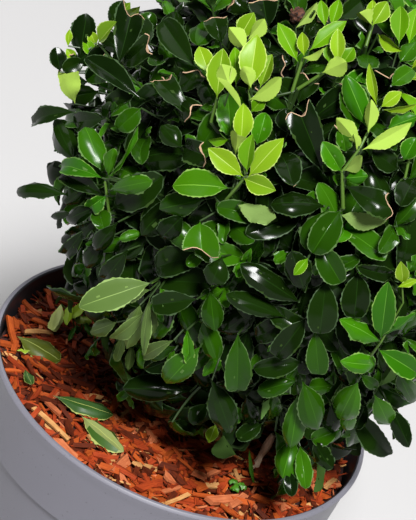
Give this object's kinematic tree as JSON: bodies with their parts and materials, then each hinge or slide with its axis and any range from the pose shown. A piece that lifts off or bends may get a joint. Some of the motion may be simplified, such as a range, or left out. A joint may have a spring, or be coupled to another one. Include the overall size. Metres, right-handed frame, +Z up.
{
  "type": "potted japanese spindle shrub",
  "caption": "Clipped ball of small-leaved evergreen spindle in a round nursery pot with a wood-chip mulch.",
  "frame": {"origin": "middle of the pot's flat underside, where it stands on the ground", "axes": "+Z up along the pot's axis; -Y faces the viewer of the picture, +X to that viewer's right"},
  "size_m": [0.362, 0.3544, 0.607],
  "materials": {
    "pot": "satin",
    "soil": "matte",
    "mulch": "matte",
    "bark": "matte",
    "foliage": "satin"
  },
  "bodies": {
    "root": {"pot": "pot", "soil": "soil", "mulch": "mulch", "trunk": "bark", "side_stem": "bark", "bough_1": "bark", "bough_2": "bark", "bough_3": "bark", "bough_4": "bark", "leader": "bark", "foliage_side_1": "foliage", "foliage_side_2": "foliage", "foliage_side_3": "foliage", "foliage_side_4": "foliage", "foliage_top": "foliage"}
  },
  "joints": []
}
